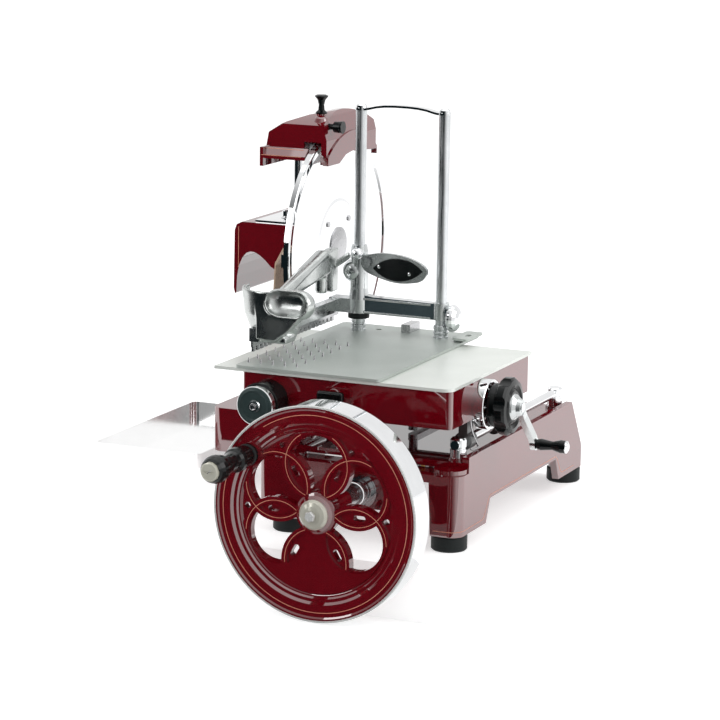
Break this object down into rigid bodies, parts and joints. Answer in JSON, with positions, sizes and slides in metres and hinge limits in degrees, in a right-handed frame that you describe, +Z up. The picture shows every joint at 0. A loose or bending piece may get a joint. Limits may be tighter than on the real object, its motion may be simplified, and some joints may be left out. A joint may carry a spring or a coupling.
{
  "type": "hand crank meat slicer",
  "caption": "Flywheel meat slicer turned by hand: round knife in a ring guard, sliding carriage with feed table and press, sharpener hood, tray.",
  "frame": {"origin": "middle of the underside of the front right foot, on the plane that the feet stand on", "axes": "+Z up; +Y from the flywheel to the back, along the flywheel shaft and the carriage travel; +X from the knife to the feed crank, along the knife shaft"},
  "size_m": [0.7009, 0.7869, 0.593],
  "materials": {
    "enamel": "deep wine red gloss enamel on cast iron, with fine gold lines",
    "chrome": "polished chrome plate",
    "steel": "machined steel",
    "blade_steel": "polished knife steel",
    "tray_steel": "bright brushed stainless sheet",
    "aluminium": "satin cast aluminium",
    "grey_plate": "fine bead-blasted anodised plate",
    "black_plastic": "black gloss moulding",
    "black_rubber": "black rubber",
    "bronze": "bearing bronze",
    "cast_iron": "grey cast iron",
    "stone": "grey grinding stone"
  },
  "bodies": {
    "machine_base": {"base_casting": "enamel", "rubber_feet": "black_rubber", "carriage_guides": "chrome", "front_bearing": "chrome", "shaft_bushes": "bronze", "drive_chain": "steel", "guard_ring": "chrome", "blade_carrier": "enamel", "gear_cover": "enamel", "head_plate": "chrome", "slice_deflector": "chrome", "hood_posts": "chrome", "receiving_tray": "tray_steel"},
    "drive_wheel": {"flywheel": "enamel", "flywheel_band": "chrome", "hub_cap": "chrome", "flywheel_shaft": "chrome", "handle_spindle": "black_plastic", "crank_pinion": "steel", "knife_pinion": "steel"},
    "wheel_handle": {"handle_grip": "black_plastic"},
    "carriage_crank": {"crankshaft": "steel", "crank_gear": "steel"},
    "cross_drive": {"cross_shaft": "steel", "cross_gear": "steel", "lower_sprocket": "steel"},
    "knife": {"blade": "blade_steel", "blade_fasteners": "chrome", "knife_shaft": "steel", "upper_sprocket": "steel"},
    "sharpener": {"sharpener_hood": "enamel", "hood_lift_knob": "black_plastic", "stone_holder": "steel"},
    "grinding_wheel": {"grinding_stone": "stone"},
    "deburring_wheel": {"deburring_stone": "stone"},
    "sharpener_button": {"stone_button": "black_plastic"},
    "carriage": {"carriage_box": "enamel", "carriage_table": "grey_plate", "carriage_underframe": "cast_iron", "screw_bearings": "bronze", "dial_ring": "chrome", "thickness_drum": "black_plastic"},
    "thickness_dial": {"thickness_knob": "chrome"},
    "carriage_release": {"release_knob": "black_plastic"},
    "feed_drive": {"feed_screw": "chrome", "feed_handwheel": "black_plastic", "feed_crank": "aluminium"},
    "feed_grip": {"crank_grip": "black_plastic"},
    "food_table": {"feed_table": "grey_plate", "gripping_pins": "chrome", "rubber_stops": "black_rubber", "feed_nut": "bronze", "columns": "chrome", "top_strap": "chrome", "cap_nuts": "chrome"},
    "press": {"press_bridge": "aluminium", "press_comb": "steel", "press_scoop": "aluminium", "press_ball_knobs": "chrome"},
    "lever": {"press_lever": "aluminium"}
  },
  "joints": [
    {"name": "flywheel_turn", "type": "hinge", "parent": "machine_base", "child": "drive_wheel", "pos_m": [-0.112, 0, 0.068], "axis": [0, 1, 0], "continuous": true},
    {"name": "handle_turn", "type": "hinge", "parent": "drive_wheel", "child": "wheel_handle", "pos_m": [-0.2017, -0.18, 0.13389], "axis": [0, 1, 0], "continuous": true},
    {"name": "crank_turn", "type": "hinge", "parent": "machine_base", "child": "carriage_crank", "pos_m": [-0.112, 0.236, 0.1], "axis": [0, 0, 1], "continuous": true},
    {"name": "cross_shaft_turn", "type": "hinge", "parent": "machine_base", "child": "cross_drive", "pos_m": [-0.25, 0.3, 0.068], "axis": [1, 0, 0], "continuous": true},
    {"name": "blade_turn", "type": "hinge", "parent": "machine_base", "child": "knife", "pos_m": [-0.322, 0.356, 0.31], "axis": [1, 0, 0], "continuous": true},
    {"name": "carriage_slide", "type": "slide", "parent": "machine_base", "child": "carriage", "axis": [0, 1, 0], "range_m": [0, 0.184]},
    {"name": "thickness_turn", "type": "hinge", "parent": "carriage", "child": "thickness_dial", "pos_m": [-0.236, -0.06, 0.174], "axis": [0, -1, 0], "range_deg": [0, 270]},
    {"name": "release_pull", "type": "slide", "parent": "carriage", "child": "carriage_release", "axis": [0, -1, 0], "range_m": [0, 0.006], "stiffness_N_per_m": 600, "springref_m": -0.003},
    {"name": "feed_screw_turn", "type": "hinge", "parent": "carriage", "child": "feed_drive", "pos_m": [0.02, 0.066, 0.1755], "axis": [1, 0, 0], "range_deg": [-455, 8645]},
    {"name": "feed_grip_turn", "type": "hinge", "parent": "feed_drive", "child": "feed_grip", "pos_m": [0.098, 0.0946, 0.1239], "axis": [1, 0, 0], "continuous": true},
    {"name": "feed_slide", "type": "slide", "parent": "carriage", "child": "food_table", "axis": [1, 0, 0], "range_m": [-0.005, 0.096]},
    {"name": "press_slide", "type": "slide", "parent": "food_table", "child": "press", "axis": [0, 0, 1], "range_m": [0, 0.18]},
    {"name": "press_lever_turn", "type": "hinge", "parent": "press", "child": "lever", "pos_m": [-0.218, 0.23, 0.314], "axis": [0, -1, 0], "range_deg": [0, 45]},
    {"name": "sharpener_lift", "type": "slide", "parent": "machine_base", "child": "sharpener", "axis": [0, 0, 1], "range_m": [0, 0.012]},
    {"name": "grinding_stone_turn", "type": "hinge", "parent": "sharpener", "child": "grinding_wheel", "pos_m": [-0.334, 0.332, 0.452], "axis": [1, 0, 0], "continuous": true},
    {"name": "deburring_stone_turn", "type": "hinge", "parent": "sharpener", "child": "deburring_wheel", "pos_m": [-0.334, 0.38, 0.452], "axis": [1, 0, 0], "continuous": true},
    {"name": "button_push", "type": "slide", "parent": "sharpener", "child": "sharpener_button", "axis": [-1, 0, 0], "range_m": [0, 0.003], "stiffness_N_per_m": 600, "springref_m": -0.002}
  ],
  "couplings": [
    {"joint": "crank_turn", "follows": "flywheel_turn", "ratio": 1},
    {"joint": "cross_shaft_turn", "follows": "flywheel_turn", "ratio": 1},
    {"joint": "blade_turn", "follows": "flywheel_turn", "ratio": 2},
    {"joint": "feed_screw_turn", "follows": "feed_slide", "rad_per_m": 1570.8}
  ]
}
